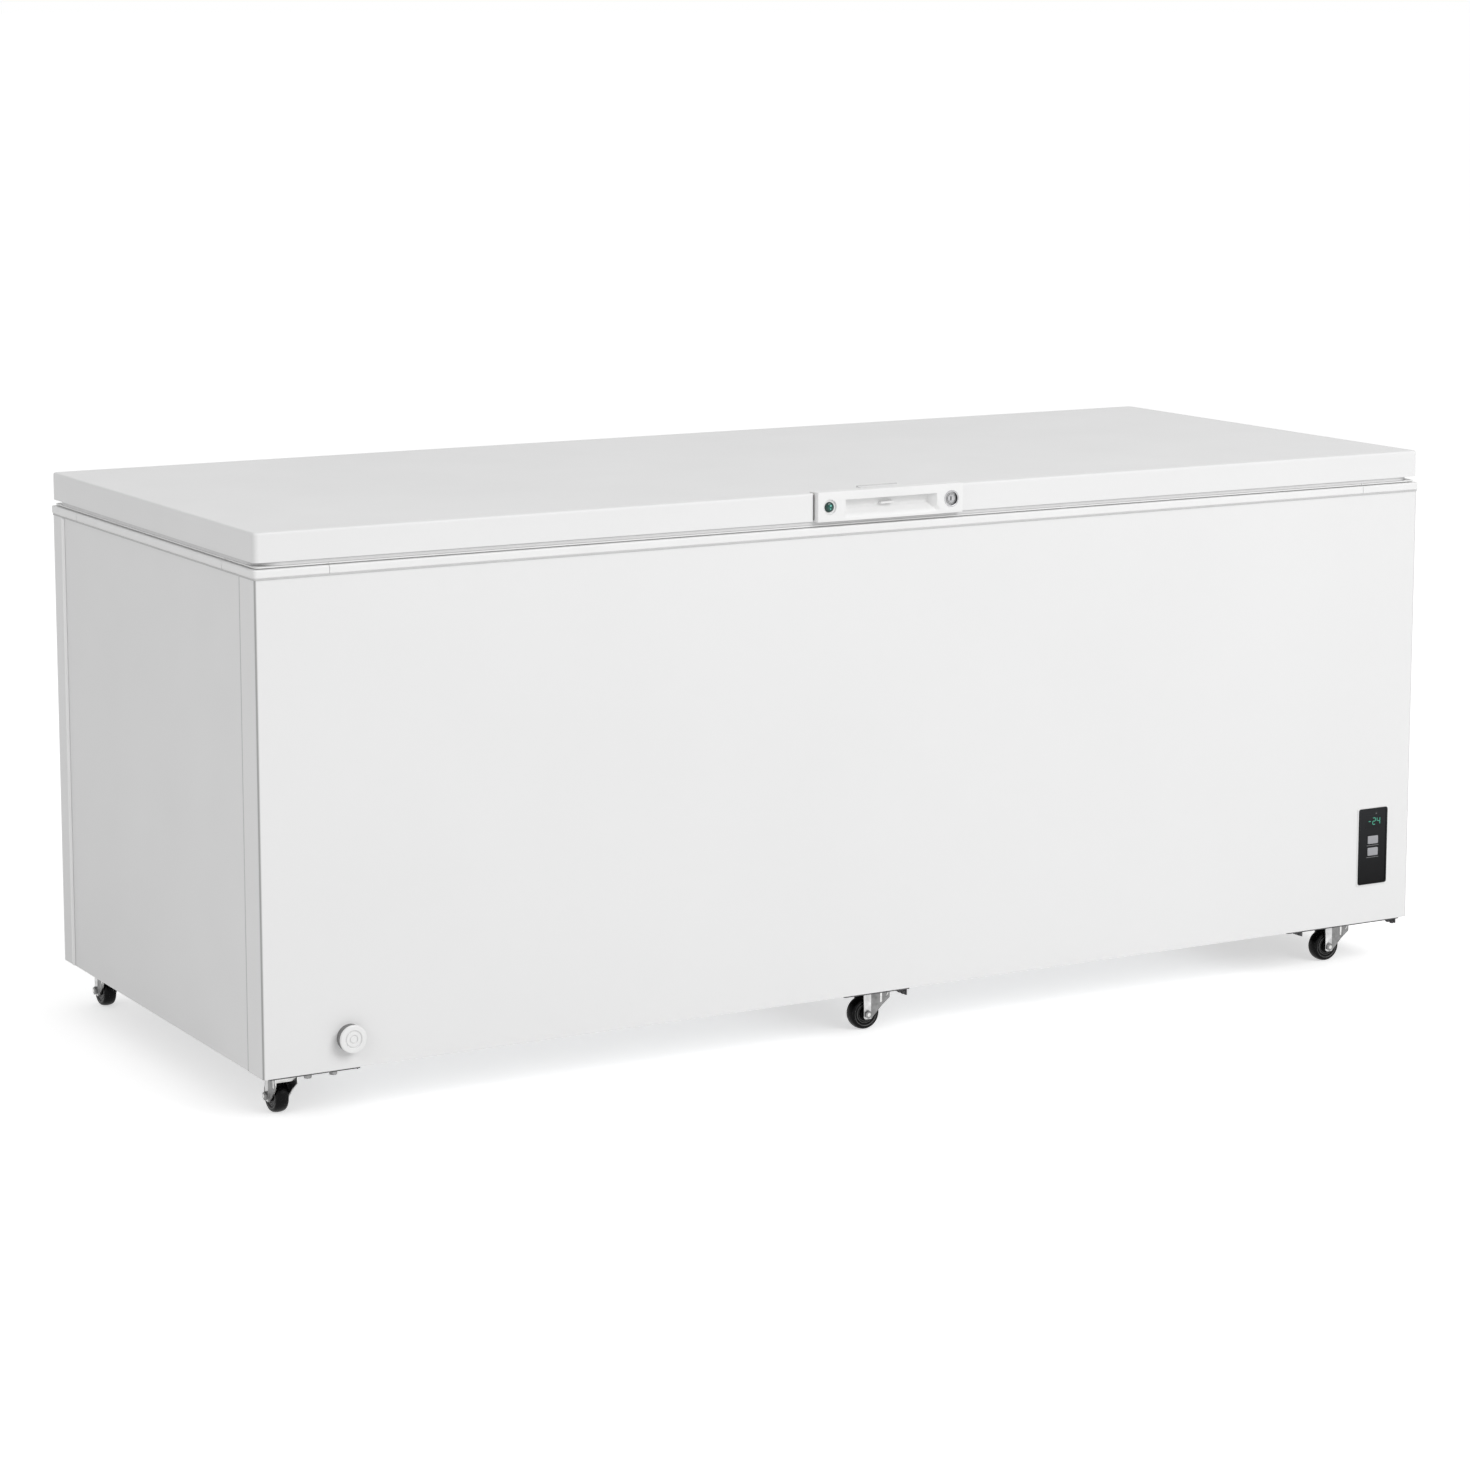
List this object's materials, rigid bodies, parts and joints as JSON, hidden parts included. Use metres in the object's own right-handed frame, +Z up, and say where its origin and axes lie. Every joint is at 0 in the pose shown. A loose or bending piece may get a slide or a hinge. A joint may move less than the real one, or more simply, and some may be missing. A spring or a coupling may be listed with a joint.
{
  "type": "chest freezer",
  "caption": "Long white chest freezer on swivel castors with a hinged foam lid, lockable handle, digital control panel, drain and wire baskets.",
  "frame": {"origin": "on the floor, below the middle of the object's outer box", "axes": "+X to the right along the cabinet as seen from the front, +Y to the back, +Z up"},
  "size_m": [2.0044, 0.828, 0.8365],
  "materials": {
    "white_paint": "satin",
    "white_plastic": "satin",
    "grey_plastic": "satin",
    "liner_aluminium": "satin",
    "galvanised": "satin",
    "zinc": "polished",
    "lock_chrome": "polished",
    "black_gloss": "gloss",
    "smoked_window": "gloss",
    "board_green": "satin",
    "lamp_green": "gloss",
    "button_grey": "satin",
    "wheel_black": "satin",
    "rubber_black": "matte",
    "gasket_grey": "matte",
    "foam": "matte",
    "black_enamel": "gloss",
    "copper": "satin",
    "coated_wire": "gloss"
  },
  "bodies": {
    "cabinet": {"front_panel": "white_paint", "left_side_panel": "white_paint", "right_side_panel": "white_paint", "back_panel": "white_paint", "base_panel": "galvanised", "bay_partition": "galvanised", "insulation_foam": "foam", "inner_liner": "liner_aluminium", "rim_rails": "white_plastic", "rim_corner_caps": "white_plastic", "lock_keeper": "grey_plastic", "support_rails": "galvanised", "compressor_tray": "galvanised", "cabinet_bolts": "zinc", "castor_plates": "zinc", "compressor_shell": "black_enamel", "compressor_grommets": "rubber_black", "relay_cover": "black_gloss", "filter_drier": "copper", "refrigerant_pipes": "copper", "evaporator_tube": "copper", "condenser_tube": "copper", "drain_tube": "white_plastic", "control_housing": "white_plastic", "control_fascia": "black_gloss", "display_window": "smoked_window", "control_board": "board_green", "side_grille": "white_plastic", "cord_gland": "grey_plastic", "hinge_bases": "galvanised", "hinge_pins": "zinc"},
    "lid": {"lid_skin": "white_paint", "lid_foam": "foam", "lid_inner_panel": "white_plastic", "lid_gasket": "gasket_grey", "handle": "white_plastic", "pilot_lamp_lens": "lamp_green", "lock_barrel": "lock_chrome", "hinge_leaves": "galvanised", "lid_screws": "zinc"},
    "lock": {"lock_plug": "lock_chrome"},
    "temperature_button": {"temperature_button": "button_grey"},
    "mode_button": {"mode_button": "button_grey"},
    "drain_spout": {"drain_spout": "white_plastic"},
    "drain_dial": {"drain_dial": "white_plastic"},
    "drain_plug": {"drain_plug": "rubber_black"},
    "basket_left": {"basket_left": "coated_wire"},
    "basket_right": {"basket_right": "coated_wire"},
    "castor_fork_front_left": {"castor_fork_front_left": "zinc"},
    "castor_wheel_front_left": {"castor_wheel_front_left": "wheel_black"},
    "castor_fork_back_left": {"castor_fork_back_left": "zinc"},
    "castor_wheel_back_left": {"castor_wheel_back_left": "wheel_black"},
    "castor_fork_front_middle": {"castor_fork_front_middle": "zinc"},
    "castor_wheel_front_middle": {"castor_wheel_front_middle": "wheel_black"},
    "castor_fork_back_middle": {"castor_fork_back_middle": "zinc"},
    "castor_wheel_back_middle": {"castor_wheel_back_middle": "wheel_black"},
    "castor_fork_front_right": {"castor_fork_front_right": "zinc"},
    "castor_wheel_front_right": {"castor_wheel_front_right": "wheel_black"},
    "castor_fork_back_right": {"castor_fork_back_right": "zinc"},
    "castor_wheel_back_right": {"castor_wheel_back_right": "wheel_black"}
  },
  "joints": [
    {"name": "lid_hinge", "type": "hinge", "parent": "cabinet", "child": "lid", "pos_m": [0, 0.4055, 0.79], "axis": [-1, 0, 0], "range_deg": [0, 80], "stiffness_Nm_per_rad": 15, "springref_deg": 143.24},
    {"name": "lock_turn", "type": "hinge", "parent": "lid", "child": "lock", "pos_m": [0.112, -0.39, 0.814], "axis": [0, 1, 0], "range_deg": [0, 90]},
    {"name": "temperature_press", "type": "slide", "parent": "cabinet", "child": "temperature_button", "axis": [0, 1, 0], "range_m": [0, 0.001], "stiffness_N_per_m": 600},
    {"name": "mode_press", "type": "slide", "parent": "cabinet", "child": "mode_button", "axis": [0, 1, 0], "range_m": [0, 0.001], "stiffness_N_per_m": 600},
    {"name": "drain_pull", "type": "slide", "parent": "cabinet", "child": "drain_spout", "axis": [0, -1, 0], "range_m": [0, 0.02]},
    {"name": "drain_turn", "type": "hinge", "parent": "drain_spout", "child": "drain_dial", "pos_m": [-0.87, -0.405, 0.118], "axis": [0, -1, 0], "range_deg": [0, 180]},
    {"name": "drain_plug_lift", "type": "slide", "parent": "cabinet", "child": "drain_plug", "axis": [0, 0, 1], "range_m": [0, 0.04]},
    {"name": "basket_left_slide", "type": "slide", "parent": "cabinet", "child": "basket_left", "axis": [1, 0, 0], "range_m": [0, 0.5]},
    {"name": "basket_right_slide", "type": "slide", "parent": "cabinet", "child": "basket_right", "axis": [-1, 0, 0], "range_m": [0, 0.5]},
    {"name": "swivel_front_left", "type": "hinge", "parent": "cabinet", "child": "castor_fork_front_left", "pos_m": [-0.945, -0.33, 0.064], "axis": [0, 0, 1], "continuous": true},
    {"name": "roll_front_left", "type": "hinge", "parent": "castor_fork_front_left", "child": "castor_wheel_front_left", "pos_m": [-0.945, -0.312, 0.025], "axis": [-1, 0, 0], "continuous": true},
    {"name": "swivel_back_left", "type": "hinge", "parent": "cabinet", "child": "castor_fork_back_left", "pos_m": [-0.945, 0.35, 0.064], "axis": [0, 0, 1], "continuous": true},
    {"name": "roll_back_left", "type": "hinge", "parent": "castor_fork_back_left", "child": "castor_wheel_back_left", "pos_m": [-0.945, 0.368, 0.025], "axis": [-1, 0, 0], "continuous": true},
    {"name": "swivel_front_middle", "type": "hinge", "parent": "cabinet", "child": "castor_fork_front_middle", "pos_m": [0.026, -0.33, 0.064], "axis": [0, 0, 1], "continuous": true},
    {"name": "roll_front_middle", "type": "hinge", "parent": "castor_fork_front_middle", "child": "castor_wheel_front_middle", "pos_m": [0.008, -0.33, 0.025], "axis": [0, -1, 0], "continuous": true},
    {"name": "swivel_back_middle", "type": "hinge", "parent": "cabinet", "child": "castor_fork_back_middle", "pos_m": [0.026, 0.35, 0.064], "axis": [0, 0, 1], "continuous": true},
    {"name": "roll_back_middle", "type": "hinge", "parent": "castor_fork_back_middle", "child": "castor_wheel_back_middle", "pos_m": [0.008, 0.35, 0.025], "axis": [0, -1, 0], "continuous": true},
    {"name": "swivel_front_right", "type": "hinge", "parent": "cabinet", "child": "castor_fork_front_right", "pos_m": [0.903, -0.33, 0.064], "axis": [0, 0, 1], "continuous": true},
    {"name": "roll_front_right", "type": "hinge", "parent": "castor_fork_front_right", "child": "castor_wheel_front_right", "pos_m": [0.885, -0.33, 0.025], "axis": [0, -1, 0], "continuous": true},
    {"name": "swivel_back_right", "type": "hinge", "parent": "cabinet", "child": "castor_fork_back_right", "pos_m": [0.903, 0.35, 0.064], "axis": [0, 0, 1], "continuous": true},
    {"name": "roll_back_right", "type": "hinge", "parent": "castor_fork_back_right", "child": "castor_wheel_back_right", "pos_m": [0.885, 0.35, 0.025], "axis": [0, -1, 0], "continuous": true}
  ]
}
